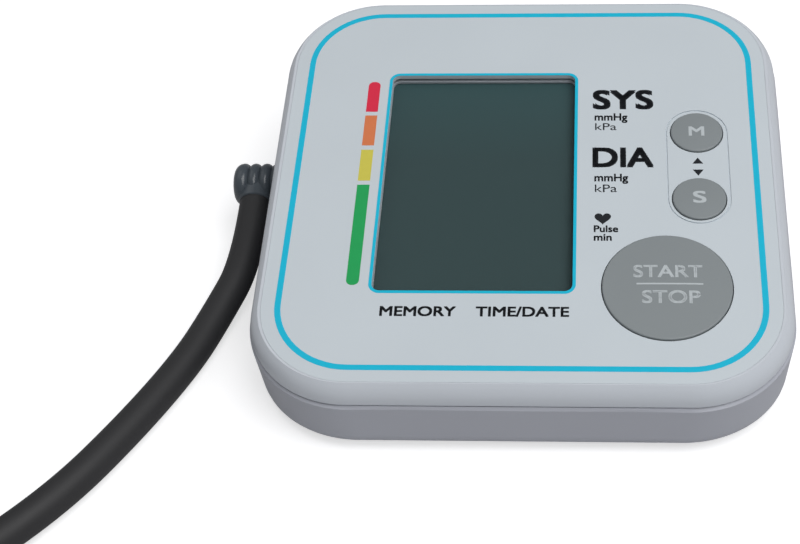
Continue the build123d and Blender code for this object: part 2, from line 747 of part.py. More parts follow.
# Air manifold: a block with four barbed ports
with BuildPart() as air_manifold:
    with BuildSketch(Plane.XY.offset(manifold_z - manifold_height / 2)):
        with Locations((manifold_x, (manifold_front + manifold_back) / 2)):
            RectangleRounded(manifold_width, manifold_back - manifold_front, 1.5)
    extrude(amount=manifold_height)
    with BuildSketch(Plane.XZ.offset(-manifold_back)):
        with Locations((jack_port_x, jack_z)):
            Circle(barb_radius)
    extrude(amount=-barb_length)
    with BuildSketch(Plane.XZ.offset(-manifold_front)):
        with Locations((valve_nozzle_x, manifold_z)):
            Circle(barb_radius)
    extrude(amount=barb_length)
    with BuildSketch(Plane.XY.offset(manifold_z + manifold_height / 2)):
        with Locations((manifold_x, pump_port_y), (manifold_x, sensor_place.Y)):
            Circle(barb_radius)
    extrude(amount=top_port_length)
air_manifold.part.label = "air_manifold"
export_step(air_manifold.part, "parts/air_manifold.step")

# Air jack in the left wall, turned about the plug's axis
with BuildPart() as air_jack:
    with BuildSketch(jack_plane):
        with BuildLine():
            Polyline(
                (jack_face_x, jack_bore),
                (jack_face_x, jack_radius),
                (jack_face_x + wall + jack_seat_gap, jack_radius),
                (jack_face_x + wall + jack_seat_gap, jack_flange_radius),
                (jack_face_x + wall + jack_seat_gap + jack_flange, jack_flange_radius),
                (jack_face_x + wall + jack_seat_gap + jack_flange, jack_radius),
                (jack_end_x, jack_radius),
                (jack_end_x, barb_radius),
                (jack_end_x + barb_length, barb_radius),
                (jack_end_x + barb_length, air_channel),
                (jack_end_x - 1.0, air_channel),
                (jack_end_x - 1.0, jack_bore),
                close=True,
            )
        make_face()
    revolve(axis=jack_axis)
    mouth = air_jack.edges().filter_by(GeomType.CIRCLE).group_by(Axis.X)[0].sort_by(SortBy.RADIUS)[0]
    chamfer(mouth, length=0.4)
air_jack.part.label = "air_jack"
export_step(air_jack.part, "parts/air_jack.step")

# Soft inner tubes, each along its whole way from barb to barb
jack_tube_start = (jack_end_x + fit_gap, jack_y, jack_z)
inner_tubes = {
    "jack_tube": [
        jack_tube_start,
        (jack_port_x, jack_y, jack_z),
        (jack_port_x, manifold_back + fit_gap, jack_z),
    ],
    "pump_tube": [
        (pump_nozzle_x, pump_front - fit_gap, pump_nozzle_z),
        (pump_nozzle_x, pump_port_y, pump_nozzle_z),
        (manifold_x, pump_port_y, pump_nozzle_z),
        (manifold_x, pump_port_y, manifold_z + manifold_height / 2 + fit_gap),
    ],
    "sensor_tube": [
        (sensor_x - sensor_size / 2 - fit_gap, sensor_place.Y, sensor_place.Z),
        (manifold_x, sensor_place.Y, sensor_place.Z),
        (manifold_x, sensor_place.Y, manifold_z + manifold_height / 2 + fit_gap),
    ],
    "valve_tube": [
        (valve_nozzle_x, manifold_front - fit_gap, manifold_z),
        (valve_nozzle_x, valve_back + barb_length + 0.4, manifold_z),
    ],
}
tube_bend = {"jack_tube": 4.5, "pump_tube": 5.2, "sensor_tube": 2.6}
for name, points in inner_tubes.items():
    with BuildPart() as tube:
        with BuildLine() as way:
            if name in tube_bend:
                FilletPolyline(*points, radius=tube_bend[name])
            else:
                Line(*points)
        with BuildSketch(Plane(origin=way.line @ 0, z_dir=way.line % 0)):
            Circle(tube_radius)
            Circle(tube_bore, mode=Mode.SUBTRACT)
        sweep()
    tube.part.label = name
    export_step(tube.part, "parts/" + name + ".step")

# Release valve: bent steel yoke, coil, plunger and a capped seat with its nozzle
with BuildPart() as valve_yoke:
    with BuildSketch(Plane.YZ.offset(valve_x - valve_width / 2 + 1.0)):
        with Locations((valve_front + valve_length / 2, valve_z)):
            Rectangle(valve_length, valve_height)
        with Locations((valve_front + valve_length / 2, valve_z + yoke_thickness / 2)):
            Rectangle(valve_length - 2 * yoke_thickness, valve_height - yoke_thickness, mode=Mode.SUBTRACT)
    extrude(amount=valve_width - 2.0)
    with BuildSketch(Plane.XZ.offset(-valve_front + 1)):
        with Locations((valve_x, valve_z)):
            Circle(plunger_radius + slide_gap)
    extrude(amount=-valve_length - 2, mode=Mode.SUBTRACT)
valve_yoke.part.label = "valve_yoke"
export_step(valve_yoke.part, "parts/valve_yoke.step")

with BuildPart() as valve_coil:
    with BuildSketch(Plane.XZ.offset(-valve_front - yoke_thickness)):
        with Locations((valve_x, valve_z)):
            Circle(coil_radius)
            Circle(plunger_radius + slide_gap, mode=Mode.SUBTRACT)
    extrude(amount=-(valve_length - 2 * yoke_thickness))
valve_coil.part.label = "valve_coil"
export_step(valve_coil.part, "parts/valve_coil.step")

with BuildPart() as valve_plunger:
    with BuildSketch(Plane.XZ.offset(-valve_front + 1.5)):
        with Locations((valve_x, valve_z)):
            Circle(plunger_radius)
    extrude(amount=-(valve_length + 1.5))
    chamfer(valve_plunger.edges().filter_by(GeomType.CIRCLE), length=0.3)
valve_plunger.part.label = "valve_plunger"
export_step(valve_plunger.part, "parts/valve_plunger.step")

with BuildPart() as valve_cap:
    with BuildSketch(Plane.XZ.offset(-valve_back - fit_gap)):
        with Locations((valve_x, valve_z)):
            RectangleRounded(valve_width - 2.0, valve_height, 1.0)
        with Locations((valve_nozzle_x - 0.5, manifold_z)):
            Circle(barb_radius + 1.4)
    extrude(amount=-3.0)
    with BuildSketch(Plane.XZ.offset(-valve_back - fit_gap)):
        with Locations((valve_x, valve_z)):
            Circle(plunger_radius + 0.6)
    extrude(amount=-(plunger_travel + 0.6), mode=Mode.SUBTRACT)
    with BuildSketch(Plane.XZ.offset(-valve_back - fit_gap - 3.0)):
        with Locations((valve_nozzle_x, manifold_z)):
            Circle(barb_radius)
    extrude(amount=-barb_length)
valve_cap.part.label = "valve_cap"
export_step(valve_cap.part, "parts/valve_cap.step")

# Air pump, from front to back: cover with its nozzle, diaphragm, crank case, motor
with BuildPart() as pump_cover:
    with BuildSketch(Plane.XZ.offset(-pump_front)):
        with Locations((pump_x, pump_z)):
            RectangleRounded(2 * pump_radius, 2 * pump_radius, 5.0)
    extrude(amount=-cover_length)
    chamfer(pump_cover.faces().sort_by(Axis.Y)[0].edges(), length=0.8)
    with BuildSketch(Plane.XZ.offset(-pump_front - 1.0)):
        with Locations((pump_nozzle_x, pump_nozzle_z)):
            Circle(barb_radius)
    extrude(amount=barb_length + 1.0)
    with BuildSketch(Plane.XZ.offset(-cover_back)):
        with Locations((pump_x, pump_z)):
            with PolarLocations(5.2, 3):
                Circle(3.0)
    extrude(amount=1.6, mode=Mode.SUBTRACT)
pump_cover.part.label = "pump_cover"
export_step(pump_cover.part, "parts/pump_cover.step")

with BuildPart() as pump_diaphragm:
    with BuildSketch(Plane.XZ.offset(-cover_back)):
        with Locations((pump_x, pump_z)):
            RectangleRounded(2 * pump_radius - 1.0, 2 * pump_radius - 1.0, 4.5)
    extrude(amount=-diaphragm_thickness)
    with BuildSketch(Plane.XZ.offset(-diaphragm_back)):
        with Locations((pump_x, pump_z)):
            with PolarLocations(5.2, 3):
                Circle(2.6)
    extrude(amount=-2.0, taper=12)
pump_diaphragm.part.label = "pump_diaphragm"
export_step(pump_diaphragm.part, "parts/pump_diaphragm.step")

with BuildPart() as pump_case:
    with BuildSketch(Plane.XZ.offset(-diaphragm_back)):
        with Locations((pump_x, pump_z)):
            RectangleRounded(2 * pump_radius, 2 * pump_radius, 5.0)
    extrude(amount=-head_length)
    with BuildSketch(Plane.XZ.offset(-diaphragm_back)):
        with Locations((pump_x, pump_z)):
            Circle(pump_radius - 2.4)
    extrude(amount=-(head_length - 1.6), mode=Mode.SUBTRACT)
    with BuildSketch(Plane.XZ.offset(-diaphragm_back)):
        with Locations((pump_x, pump_z)):
            Circle(shaft_radius + 0.6)
    extrude(amount=-head_length, mode=Mode.SUBTRACT)
pump_case.part.label = "pump_case"
export_step(pump_case.part, "parts/pump_case.step")

with BuildPart() as motor_can:
    with BuildSketch(Plane.XZ.offset(-head_back)):
        with Locations((pump_x, pump_z)):
            Circle(pump_radius)
    extrude(amount=-motor_length)
    chamfer(motor_can.faces().sort_by(Axis.Y)[-1].edges(), length=1.0)
    with BuildSketch(Plane.XZ.offset(-head_back - pump_wall)):
        with Locations((pump_x, pump_z)):
            Circle(pump_radius - pump_wall)
    extrude(amount=-(motor_length - 2 * pump_wall), mode=Mode.SUBTRACT)
    with BuildSketch(Plane.XZ.offset(-head_back)):
        with Locations((pump_x, pump_z)):
            Circle(shaft_radius + 0.05)
    extrude(amount=-motor_length, mode=Mode.SUBTRACT)
motor_can.part.label = "motor_can"
export_step(motor_can.part, "parts/motor_can.step")

with BuildPart() as motor_magnets:
    with BuildSketch(Plane.XZ.offset(-head_back - pump_wall - 2.0)):
        with Locations((pump_x, pump_z)):
            Circle(pump_radius - pump_wall - 0.05)
            Circle(armature_radius + 0.5, mode=Mode.SUBTRACT)
            Rectangle(8.0, 2 * pump_radius, mode=Mode.SUBTRACT)
    extrude(amount=-(motor_length - 2 * pump_wall - 4.0))
motor_magnets.part.label = "motor_magnets"
export_step(motor_magnets.part, "parts/motor_magnets.step")

# The turning part: shaft, slotted armature, commutator and the offset crank
with BuildPart() as pump_rotor:
    with BuildSketch(Plane.XZ.offset(-head_back + 4.5)):
        with Locations((pump_x, pump_z)):
            Circle(shaft_radius)
    extrude(amount=-(motor_length + 5.0))
    with BuildSketch(Plane.XZ.offset(-head_back - pump_wall - 2.5)):
        with Locations((pump_x, pump_z)):
            Circle(armature_radius)
            with PolarLocations(armature_radius, 3):
                Rectangle(5.0, 2.0, mode=Mode.SUBTRACT)
    extrude(amount=-(motor_length - 2 * pump_wall - 7.0))
    with BuildSketch(Plane.XZ.offset(-motor_back + pump_wall + 4.2)):
        with Locations((pump_x, pump_z)):
            Circle(2.6)
    extrude(amount=-3.2)
    with BuildSketch(Plane.XZ.offset(-head_back + 1.6 + 0.6)):
        with Locations((pump_x + crank_offset, pump_z)):
            Circle(crank_radius)
    extrude(amount=2.4)
pump_rotor.part.label = "pump_rotor"
export_step(pump_rotor.part, "parts/pump_rotor.step")

with BuildPart() as pump_cushion:
    with BuildSketch(Plane.XZ.offset(-(head_back + 2.5))):
        with Locations((pump_x, pump_z)):
            Circle(pump_radius + cushion_thickness)
            Circle(pump_radius + 0.05, mode=Mode.SUBTRACT)
    extrude(amount=-cushion_length)
pump_cushion.part.label = "pump_cushion"
export_step(pump_cushion.part, "parts/pump_cushion.step")

# Battery door: a piece of the shell itself, with tongues that ride on the ledges
with BuildPart() as battery_door:
    add(base_form.part)
    add(base_cavity.part, mode=Mode.SUBTRACT)
    with BuildSketch(Plane.XY.offset(foot_height - 1)):
        with Locations((bay_x, bay_front - 0.5 + slide_gap)):
            Rectangle(door_width - 2 * slide_gap, lower_depth, align=(Align.CENTER, Align.MIN))
    extrude(amount=1 + door_lip_height, mode=Mode.INTERSECT)
    for side in (-1, 1):
        with BuildSketch(Plane.XY.offset(floor_top - 0.2)):
            with Locations((bay_x + side * (door_width / 2 - slide_gap), bay_front + 1.0)):
                Rectangle(1.6, bay_length - 2.0, align=(Align.MAX if side > 0 else Align.MIN, Align.MIN))
        extrude(amount=tongue_high - floor_top + 0.2)
        with BuildSketch(Plane.XY.offset(tongue_low)):
            with Locations((bay_x + side * (door_width / 2 - slide_gap - 0.5), bay_front + 1.0)):
                Rectangle(door_tongue + 0.5, bay_length - 2.0, align=(Align.MIN if side > 0 else Align.MAX, Align.MIN))
        extrude(amount=tongue_high - tongue_low)
    with BuildSketch(Plane.XY.offset(foot_height)):
        with Locations((bay_x, bay_back - 14.0)):
            with GridLocations(1, grip_rib_pitch, 1, grip_rib_count):
                SlotOverall(22.0, 1.1)
    extrude(amount=-grip_rib_height)
battery_door.part.label = "battery_door"
export_step(battery_door.part, "parts/battery_door.step")

# Cells, every second one turned round
cell_xs = [bay_x + (index - (cell_count - 1) / 2) * cell_pitch for index in range(cell_count)]
battery_middle = bay_front + bay_length / 2
for index, x in enumerate(cell_xs):
    way = 1 if index % 2 == 0 else -1
    end = battery_middle + way * battery_length / 2
    flat = battery_middle - way * battery_length / 2
    with BuildPart() as cell:
        with BuildSketch(Plane(origin=(x, flat, battery_z), x_dir=(1, 0, 0), z_dir=(0, way, 0))):
            Circle(battery_diameter / 2)
        extrude(amount=battery_length - battery_nub_height)
        chamfer(cell.edges().filter_by(GeomType.CIRCLE), length=0.5)
        with BuildSketch(Plane(origin=(x, end, battery_z), x_dir=(1, 0, 0), z_dir=(0, -way, 0))):
            Circle(battery_nub_radius)
        extrude(amount=battery_nub_height)
    cell.part.label = "cell_" + str(index + 1)
    export_step(cell.part, "parts/cell_" + str(index + 1) + ".step")

# Contacts: a flat plate behind each pole, and a bowed leaf at each flat end
leaf_reach = bay_end_room - 0.3
leaf_top = leaf_height / 2
for name, wall_y, way in (("front_contacts", bay_front, 1), ("rear_contacts", bay_back, -1)):
    with BuildPart() as contacts:
        for index, x in enumerate(cell_xs):
            back = Plane(origin=(x, wall_y + way * contact_gap, battery_z), x_dir=(1, 0, 0), z_dir=(0, way, 0))
            with BuildSketch(back):
                Rectangle(cell_pitch - contact_side_room, contact_height)
            extrude(amount=contact_thickness)
            bowed = (index % 2 == 0) == (way > 0)
            if bowed:
                with BuildSketch(Plane.YZ.offset(x - leaf_width / 2)):
                    with BuildLine():
                        start = wall_y + way * (contact_gap + contact_thickness / 2)
                        outer = ThreePointArc(
                            (start, battery_z - leaf_top),
                            (wall_y + way * leaf_reach, battery_z),
                            (start, battery_z + leaf_top),
                        )
                        inner = ThreePointArc(
                            (start, battery_z - leaf_top + 0.5),
                            (wall_y + way * (leaf_reach - contact_thickness), battery_z),
                            (start, battery_z + leaf_top - 0.5),
                        )
                        Line(outer @ 0, inner @ 0)
                        Line(outer @ 1, inner @ 1)
                    make_face()
                extrude(amount=leaf_width)
            else:
                with BuildSketch(back.offset(contact_thickness / 2)):
                    Circle(cup_radius)
                extrude(amount=bay_end_room - 0.5, taper=20)
    contacts.part.label = name
    export_step(contacts.part, "parts/" + name + ".step")

# Housing screws, sunk deep in their bosses, and the rubber feet
for index, (x, y, top) in enumerate(boss_places):
    with BuildPart() as housing_screw:
        with BuildSketch(Plane.XY.offset(top - screw_grip)):
            with Locations((x, y)):
                Circle(screw_head_radius)
        extrude(amount=-screw_head_height)
        with BuildSketch(Plane.XY.offset(top - screw_grip)):
            with Locations((x, y)):
                Circle(screw_radius)
        extrude(amount=screw_grip + screw_bite)
        with BuildSketch(Plane.XY.offset(top - screw_grip - screw_head_height)):
            with Locations((x, y)):
                Rectangle(3.0, 0.7)
                Rectangle(0.7, 3.0)
        extrude(amount=0.9, mode=Mode.SUBTRACT)
    housing_screw.part.label = "housing_screw_" + str(index + 1)
    export_step(housing_screw.part, "parts/housing_screw_" + str(index + 1) + ".step")

for index, (x, y) in enumerate(foot_places):
    with BuildPart() as foot:
        with BuildSketch(Plane.XY):
            with Locations((x, y)):
                Circle(foot_radius)
        extrude(amount=foot_height + foot_recess)
        chamfer(foot.faces().sort_by(Axis.Z)[0].edges(), length=0.4)
    foot.part.label = "foot_" + str(index + 1)
    export_step(foot.part, "parts/foot_" + str(index + 1) + ".step")

# Hose plug: grip rings round the pin's axis, a domed end, and the drooping outlet
head_right = jack_face_x - plug_gap
elbow_x = head_right - outlet_offset
last_ring_x = head_right - (ring_count - 0.5) * ring_pitch
elbow_tip_x = last_ring_x - tip_radius
outlet_dir = Vector(0, -cos(radians(outlet_droop)), -sin(radians(outlet_droop)))
elbow_middle = Vector(elbow_x, jack_y, jack_z)
outlet_end = elbow_middle + outlet_dir * outlet_length
outlet_axis = Axis(elbow_middle, outlet_dir)
with BuildPart() as hose_plug:
    with BuildSketch(jack_plane):
        with BuildLine():
            Line((elbow_tip_x, 0), (elbow_tip_x, ring_radius - tip_radius))
            CenterArc((last_ring_x, ring_radius - tip_radius), tip_radius, 90, 90)
            TangentArc((last_ring_x, ring_radius), (last_ring_x + ring_pitch / 2, ring_valley), tangent=(1, 0))
            for index in range(ring_count - 1):
                ring_x = last_ring_x + (index + 1) * ring_pitch
                ThreePointArc(
                    (ring_x - ring_pitch / 2, ring_valley),
                    (ring_x, ring_radius),
                    (ring_x + ring_pitch / 2, ring_valley),
                )
            Polyline(
                (head_right, ring_valley),
                (head_right, pin_radius),
                (jack_face_x + pin_length, pin_radius),
                (jack_face_x + pin_length, 0),
                (elbow_tip_x, 0),
            )
        make_face()
    revolve(axis=jack_axis)
    with BuildSketch(Plane(origin=elbow_middle, x_dir=(1, 0, 0), z_dir=outlet_dir)):
        Circle(outlet_radius)
    extrude(amount=outlet_length)
    chamfer(hose_plug.edges().filter_by(GeomType.CIRCLE).sort_by(outlet_axis)[-1], length=0.25)
    tip = hose_plug.edges().filter_by(GeomType.CIRCLE).sort_by(Axis.X)[-1]
    chamfer(tip, length=0.5)
    with BuildSketch(Plane.YZ.offset(jack_face_x + pin_length)):
        with Locations((jack_y, jack_z)):
            Circle(1.1)
    extrude(amount=-(pin_length + 4.0), mode=Mode.SUBTRACT)
    # groove for the seal
    with BuildSketch(jack_plane):
        with Locations((jack_face_x + pin_length - 2.5, pin_radius)):
            Rectangle(1.3, 2 * (pin_radius - jack_bore + 2 * seal_radius + 0.1))
    revolve(axis=jack_axis, mode=Mode.SUBTRACT)
hose_plug.part.label = "hose_plug"
export_step(hose_plug.part, "parts/hose_plug.step")

with BuildPart() as plug_seal:
    with BuildSketch(jack_plane):
        with Locations((jack_face_x + pin_length - 2.5, jack_bore - 0.05 - seal_radius)):
            Circle(seal_radius)
    revolve(axis=jack_axis)
plug_seal.part.label = "plug_seal"
export_step(plug_seal.part, "parts/plug_seal.step")

# Hose: out of the elbow, down to the table, and away to the front left
hose_level = hose_radius + hose_lift
coil_low = tie_thickness
coil_level = coil_low + hose_radius
coil_heading = Vector(sin(radians(coil_entry_angle)), -cos(radians(coil_entry_angle)), 0)
hose_route = [
    outlet_end,
    outlet_end + outlet_dir * hose_first_run,
    Vector(-79.2, -23.0, hose_level + 1.0),
    Vector(-84.1, -38.5, hose_level),
    Vector(-93.7, -60.0, hose_level),
    Vector(-106.8, -83.5, hose_level),
    Vector(-126.0, -105.3, coil_level),
]
hose_end = hose_route[-1] + coil_heading * hose_last_run
hose_route.append(hose_end)


def route_radii(points):
    radii = []
    for before, corner, after in zip(points, points[1:], points[2:]):
        turn = (corner - before).get_angle(after - corner)
        shorter = min((corner - before).length, (after - corner).length)
        radii.append(0.45 * shorter / tan(radians(turn / 2)))
        print("turn", round(turn, 1), "run", round(shorter, 1), "radius", round(radii[-1], 1))
    return radii


with BuildPart() as hose:
    with BuildLine() as hose_way:
        FilletPolyline(*hose_route, radius=route_radii(hose_route))
    with BuildSketch(Plane(origin=hose_way.line @ 0, z_dir=hose_way.line % 0)):
        Circle(hose_radius)
    sweep()
way_length = hose_way.wires()[0].length
print("hose length", round(way_length, 1), "volume over section times length")
print(round(hose.part.volume / (pi * hose_radius**2 * way_length), 4))
hose.part.label = "hose"
export_step(hose.part, "parts/hose.step")

# Coil: one turn on the table, the rest lying on top of it, and the straight run in
coil_tangent = hose_end + coil_heading * coil_lead_in
coil_middle = Vector(
    coil_tangent.X - coil_radius_mid * cos(radians(coil_entry_angle)),
    coil_tangent.Y - coil_radius_mid * sin(radians(coil_entry_angle)),
    0,
)
coil_end_angle = coil_entry_angle - 360 * coil_turns
coil_axis = Axis(coil_middle, (0, 0, 1))


def coil_section(angle):
    away = Vector(cos(radians(angle)), sin(radians(angle)), 0)
    return Plane(origin=coil_middle, x_dir=away, z_dir=Vector(0, 0, 1).cross(away) * -1)


with BuildPart() as hose_coil:
    with BuildSketch(coil_section(coil_entry_angle)):
        with Locations((coil_radius_mid, coil_level)):
            Circle(hose_radius)
    revolve(axis=coil_axis)
    with BuildSketch(coil_section(coil_end_angle)):
        with Locations((coil_radius_mid, coil_level + hose_radius)):
            Rectangle(2 * hose_radius - 0.8, 2 * hose_radius)
        with Locations((coil_radius_mid, coil_level + 2 * hose_radius)):
            Circle(hose_radius)
    revolve(axis=coil_axis, revolution_arc=360 * (coil_turns - 1) + coil_ramp)
    with BuildSketch(Plane(origin=hose_end, z_dir=coil_heading)):
        Circle(hose_radius)
    extrude(amount=coil_lead_in)
hose_coil.part.label = "hose_coil"
export_step(hose_coil.part, "parts/hose_coil.step")

# Tie round both layers of the coil
with BuildPart() as coil_tie:
    with BuildSketch(coil_section(tie_angle)):
        with Locations((coil_radius_mid, coil_low + 2 * hose_radius)):
            RectangleRounded(
                2 * hose_radius + 2 * tie_thickness + 2 * tie_slack,
                4 * hose_radius + 2 * tie_thickness,
                hose_radius,
            )
            RectangleRounded(2 * hose_radius + 2 * tie_slack, 4 * hose_radius, hose_radius - 0.1, mode=Mode.SUBTRACT)
    extrude(amount=tie_width / 2, both=True)
coil_tie.part.label = "coil_tie"
export_step(coil_tie.part, "parts/coil_tie.step")

# Connector on the far end, lying on the coil: collar, flange and a nozzle for the cuff
end_away = Vector(cos(radians(coil_end_angle)), sin(radians(coil_end_angle)), 0)
end_heading = Vector(sin(radians(coil_end_angle)), -cos(radians(coil_end_angle)), 0)
end_place = coil_middle + end_away * coil_radius_mid
end_place.Z = coil_level + 2 * hose_radius + connector_lift
end_plane = Plane(origin=end_place, x_dir=end_heading, z_dir=(0, 0, 1))
with BuildPart() as cuff_connector:
    with BuildSketch(end_plane):
        with BuildLine():
            Polyline(
                (0, 0),
                (0, connector_body_radius - 0.8),
                (0.8, connector_body_radius),
                (connector_body, connector_body_radius),
                (connector_body, connector_flange_radius),
                (connector_body + connector_flange, connector_flange_radius),
                (connector_body + connector_flange, nozzle_radius),
                (connector_body + connector_flange + nozzle_length, nozzle_radius),
                (connector_body + connector_flange + nozzle_length, 0),
                close=True,
            )
        make_face()
    revolve(axis=Axis(end_place, end_heading))
    with BuildSketch(Plane(origin=end_place + end_heading * 2.0, z_dir=end_heading)):
        Circle(nozzle_bore)
    extrude(amount=connector_body + connector_flange + nozzle_length, mode=Mode.SUBTRACT)
    nozzle_tip = cuff_connector.edges().filter_by(GeomType.CIRCLE).filter_by(lambda e: e.radius > nozzle_bore + 0.1)
    chamfer(nozzle_tip.sort_by(Axis(end_place, end_heading))[-1], length=0.4)
cuff_connector.part.label = "cuff_connector"
export_step(cuff_connector.part, "parts/cuff_connector.step")

print("deck origin", round(deck_y, 3), round(deck_z, 3))
print("coil middle", coil_middle, "entry", coil_tangent, "end", end_place, "heading", end_heading)
print("outlet end", outlet_end, "cells", cell_count, "bay", round(bay_x, 3), round(bay_front, 3))
print("buttons", button_places)
print("pump", round(pump_x, 3), round(pump_front, 3), "jack face", round(jack_face_x, 3), "jack y", round(jack_y, 3))
print("manifold", round(manifold_x, 3), round(manifold_front, 3), "sensor", sensor_x, sensor_y, "valve", valve_x, valve_front)
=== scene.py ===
import json
import math

import bmesh
import bpy
from mathutils import Matrix, Vector


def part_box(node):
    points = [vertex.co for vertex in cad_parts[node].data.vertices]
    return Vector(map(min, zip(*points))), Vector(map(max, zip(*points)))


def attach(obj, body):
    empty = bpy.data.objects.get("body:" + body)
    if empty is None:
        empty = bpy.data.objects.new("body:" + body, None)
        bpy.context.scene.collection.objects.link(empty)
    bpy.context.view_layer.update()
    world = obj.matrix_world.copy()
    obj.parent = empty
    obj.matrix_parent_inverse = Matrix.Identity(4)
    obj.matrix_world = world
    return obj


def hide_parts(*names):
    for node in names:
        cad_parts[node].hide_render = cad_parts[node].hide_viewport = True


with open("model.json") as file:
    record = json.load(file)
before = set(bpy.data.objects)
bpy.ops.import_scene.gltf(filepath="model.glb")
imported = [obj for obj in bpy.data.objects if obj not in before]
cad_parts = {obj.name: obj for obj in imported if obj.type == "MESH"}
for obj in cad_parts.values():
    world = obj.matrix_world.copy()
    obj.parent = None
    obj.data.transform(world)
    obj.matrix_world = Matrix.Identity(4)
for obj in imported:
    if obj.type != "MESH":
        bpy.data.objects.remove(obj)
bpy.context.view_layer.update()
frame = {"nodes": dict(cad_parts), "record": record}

nodes = frame["nodes"]
mm = 0.001

# The sloping top, found from the faceplate's own box
topForm = {"slopeDegrees": 9.5, "plateThickness": 1.2}
slope = math.radians(topForm["slopeDegrees"])
topNormal = Vector((0, -math.sin(slope), math.cos(slope)))
plateLow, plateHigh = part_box("faceplate")
topMiddle = (plateLow + plateHigh) / 2 + topNormal * topForm["plateThickness"] / 2 * mm
topPlace = Matrix.Translation(topMiddle) @ Matrix.Rotation(slope, 4, "X")


class Value:
    # a node's output that can be added and multiplied
    def __init__(self, tree, socket):
        self.tree = tree
        self.socket = socket

    def maths(self, operation, first, second):
        return self.tree.node("ShaderNodeMath", {"operation": operation}, {0: first, 1: second})

    def __add__(self, other):
        return self.maths("ADD", self, other)

    def __radd__(self, other):
        return self.maths("ADD", other, self)

    def __mul__(self, other):
        return self.maths("MULTIPLY", self, other)

    def __rmul__(self, other):
        return self.maths("MULTIPLY", other, self)


class NodeTree:
    # one way to add any node: its type, its settings, and the values or links of its sockets
    def __init__(self, tree):
        self.nodes = tree.nodes
        self.links = tree.links

    def node(self, kind, settings=None, inputs=None, output=0):
        made = self.nodes.new(kind)
        for key, value in (settings or {}).items():
            if key == "stops":
                self.setStops(made.color_ramp, value)
            else:
                setattr(made, key, value)
        for key, value in (inputs or {}).items():
            self.feed(made.inputs[key], value)
        return Value(self, made.outputs[output])

    def setStops(self, ramp, stops):
        while len(ramp.elements) < len(stops):
            ramp.elements.new(0.5)
        for element, (position, color) in zip(ramp.elements, stops):
            element.position = position
            element.color = color

    def feed(self, socket, value):
        if isinstance(value, Value):
            self.links.new(value.socket, socket)
        else:
            socket.default_value = value


class Finish(NodeTree):
    # one material, with a Principled shader ready to be fed
    def __init__(self, name, color, roughness, **fixed):
        self.material = bpy.data.materials.new(name)
        self.material.use_nodes = True
        super().__init__(self.material.node_tree)
        self.shader = self.nodes["Principled BSDF"]
        self.shader.inputs["Base Color"].default_value = (*color, 1)
        self.shader.inputs["Roughness"].default_value = roughness
        for key, value in fixed.items():
            self.shader.inputs[key.replace("_", " ")].default_value = value
        self.material.diffuse_color = (*color, 1)

    def coords(self):
        return self.node("ShaderNodeTexCoord", output="Object")

    def noise(self, scale, detail, vector=None):
        values = {"Vector": vector or self.coords(), "Scale": scale, "Detail": detail}
        return self.node("ShaderNodeTexNoise", None, values)

    def bump(self, height, strength, distance):
        values = {"Height": height, "Strength": strength, "Distance": distance}
        self.feed(self.shader.inputs["Normal"], self.node("ShaderNodeBump", None, values))

    def paint(self, color, look, factor):
        # the colour goes from the look's darkest share of it to the palest
        darkest, palest = ((*shade(color, look[key]), 1) for key in ("darkest", "palest"))
        values = {0: factor, 6: darkest, 7: palest}
        mixed = self.node("ShaderNodeMix", {"data_type": "RGBA"}, values, output=2)
        self.feed(self.shader.inputs["Base Color"], mixed)

    def vary(self, roughness, look, factor):
        span = look["smoother"] + look["rougher"]
        self.feed(self.shader.inputs["Roughness"], factor * span + (roughness - look["smoother"]))


def shade(color, amount):
    return tuple(min(1.0, part * amount) for part in color)


# Clouds are slow changes of colour and roughness, and the grain is the fine bump of the surface, its depth
# in millimetres
plasticLook = {
    "cloudScale": 35, "cloudDetail": 4, "darkest": 0.97, "palest": 1.03, "smoother": 0.04, "rougher": 0.05,
    "grain": 9000, "grainDetail": 2, "grainDepth": 0.04, "strength": 0.12,
}
rubberLook = {
    "cloudScale": 60, "cloudDetail": 5, "darkest": 0.85, "palest": 1.2, "smoother": 0.06, "rougher": 0.08,
    "grain": 2500, "grainDetail": 3, "grainDepth": 0.06, "strength": 0.3,
}
metalLook = {
    "stretch": (60, 900, 60), "streakScale": 8, "streakDetail": 3, "darkest": 0.9, "palest": 1.05,
    "smoother": 0.08, "rougher": 0.12,
}
inkLook = {
    "cloudScale": 400, "cloudDetail": 3, "darkest": 0.95, "palest": 1.05, "roughness": 0.45, "gloss": 0.2,
}


def grained(look, name, color, roughness):
    finish = Finish(name, color, roughness)
    cloud = finish.noise(look["cloudScale"], look["cloudDetail"])
    finish.paint(color, look, cloud)
    finish.vary(roughness, look, cloud)
    finish.bump(finish.noise(look["grain"], look["grainDetail"]), look["strength"], look["grainDepth"] * mm)
    return finish.material


def mouldedPlastic(name, color, roughness, **changes):
    return grained({**plasticLook, **changes}, name, color, roughness)


def rubber(name, color, roughness, **changes):
    return grained({**rubberLook, **changes}, name, color, roughness)


def metal(name, color, roughness):
    finish = Finish(name, color, roughness, Metallic=1.0)
    values = {"Vector": finish.coords(), "Scale": metalLook["stretch"]}
    stretched = finish.node("ShaderNodeMapping", None, values)
    streak = finish.noise(metalLook["streakScale"], metalLook["streakDetail"], stretched)
    finish.paint(color, metalLook, streak)
    finish.vary(roughness, metalLook, streak)
    return finish.material


def printInk(name, color):
    finish = Finish(name, color, inkLook["roughness"], Specular_IOR_Level=inkLook["gloss"])
    finish.paint(color, inkLook, finish.noise(inkLook["cloudScale"], inkLook["cloudDetail"]))
    return finish.material


lensLook = {"color": (0.01, 0.02, 0.021), "roughness": 0.08, "opacity": 0.12, "gloss": 0.25}


def lensFinish():
    finish = Finish("clearLens", lensLook["color"], lensLook["roughness"], Alpha=lensLook["opacity"],
                    Specular_IOR_Level=lensLook["gloss"])
    return finish.material


